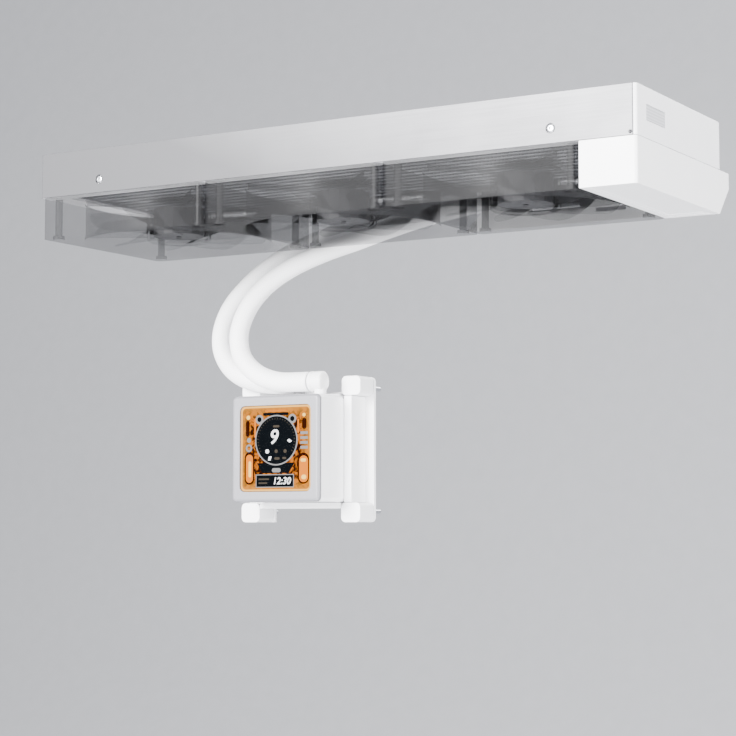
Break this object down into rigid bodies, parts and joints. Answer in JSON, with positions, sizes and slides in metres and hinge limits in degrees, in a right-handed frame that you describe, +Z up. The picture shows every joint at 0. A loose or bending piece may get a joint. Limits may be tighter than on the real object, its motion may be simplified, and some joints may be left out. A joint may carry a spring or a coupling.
{
  "type": "liquid cooling radiator",
  "caption": "Closed-loop liquid cooler: a slim radiator with fans slung under it, an end block, sleeved hoses and a pump head with a square display.",
  "frame": {"origin": "middle of the three fans on the radiator's top plane, where the case's roof holds the radiator", "axes": "+X along the radiator towards the end block, +Y away from the display, towards the processor, +Z up"},
  "size_m": [0.393, 0.157, 0.225],
  "materials": {
    "silver_trim": "satin",
    "white_enamel": "satin",
    "fins": "satin",
    "white_plastic": "satin",
    "white_fitting": "gloss",
    "bracket_white": "satin",
    "bezel": "satin",
    "hose_sleeve": "woven",
    "smoke_frame": "gloss",
    "smoke_rotor": "gloss",
    "steel": "satin",
    "copper": "ground",
    "copper_wire": "wound",
    "dark_plastic": "satin",
    "rubber": "matt",
    "screen_glass": "gloss",
    "screen": "lit",
    "board": "satin",
    "label": "matt"
  },
  "bodies": {
    "cooler": {"trim_plate": "silver_trim", "trim_screw_1": "steel", "trim_screw_2": "steel", "near_rail": "white_enamel", "far_rail": "white_enamel", "left_tank": "white_enamel", "right_tank": "white_enamel", "fin_core": "fins", "fill_plug": "steel", "end_label": "label", "end_block": "white_plastic", "hose_cover": "white_plastic", "hose_manifold": "dark_plastic", "manifold_seal": "rubber", "block_fitting": "white_fitting", "tank_elbow": "white_fitting", "inner_elbow": "white_fitting", "outer_elbow": "white_fitting", "inner_hose": "hose_sleeve", "outer_hose": "hose_sleeve", "display_bezel": "bezel", "display_glass": "screen_glass", "display_panel": "screen", "display_board": "board", "pump_cover": "white_plastic", "pump_body": "dark_plastic", "stator_coil": "copper_wire", "impeller_shaft": "steel", "volute_plate": "dark_plastic", "cold_plate": "copper", "mount_bracket": "bracket_white", "fan_frame_1": "smoke_frame", "fan_motor_1": "copper_wire", "fan_frame_2": "smoke_frame", "fan_motor_2": "copper_wire", "fan_frame_3": "smoke_frame", "fan_motor_3": "copper_wire", "screw_cap_1": "bracket_white", "screw_spring_1": "steel", "screw_cap_2": "bracket_white", "screw_spring_2": "steel", "screw_cap_3": "bracket_white", "screw_spring_3": "steel", "screw_cap_4": "bracket_white", "screw_spring_4": "steel"},
    "fan_1": {"fan_rotor_1": "smoke_rotor"},
    "fan_2": {"fan_rotor_2": "smoke_rotor"},
    "fan_3": {"fan_rotor_3": "smoke_rotor"},
    "impeller": {"impeller": "white_fitting"},
    "screw_1": {"mount_screw_1": "steel"},
    "screw_2": {"mount_screw_2": "steel"},
    "screw_3": {"mount_screw_3": "steel"},
    "screw_4": {"mount_screw_4": "steel"}
  },
  "joints": [
    {"name": "fan_1_spin", "type": "hinge", "parent": "cooler", "child": "fan_1", "pos_m": [-0.12, 0, -0.04], "axis": [0, 0, 1], "continuous": true},
    {"name": "fan_2_spin", "type": "hinge", "parent": "cooler", "child": "fan_2", "pos_m": [0, 0, -0.04], "axis": [0, 0, 1], "continuous": true},
    {"name": "fan_3_spin", "type": "hinge", "parent": "cooler", "child": "fan_3", "pos_m": [0.12, 0, -0.04], "axis": [0, 0, 1], "continuous": true},
    {"name": "impeller_spin", "type": "hinge", "parent": "cooler", "child": "impeller", "pos_m": [-0.071, 0.06, -0.1793], "axis": [0, 1, 0], "continuous": true},
    {"name": "screw_1_press", "type": "slide", "parent": "cooler", "child": "screw_1", "axis": [0, 1, 0], "range_m": [0, 0.002], "stiffness_N_per_m": 1200},
    {"name": "screw_2_press", "type": "slide", "parent": "cooler", "child": "screw_2", "axis": [0, 1, 0], "range_m": [0, 0.002], "stiffness_N_per_m": 1200},
    {"name": "screw_3_press", "type": "slide", "parent": "cooler", "child": "screw_3", "axis": [0, 1, 0], "range_m": [0, 0.002], "stiffness_N_per_m": 1200},
    {"name": "screw_4_press", "type": "slide", "parent": "cooler", "child": "screw_4", "axis": [0, 1, 0], "range_m": [0, 0.002], "stiffness_N_per_m": 1200}
  ]
}
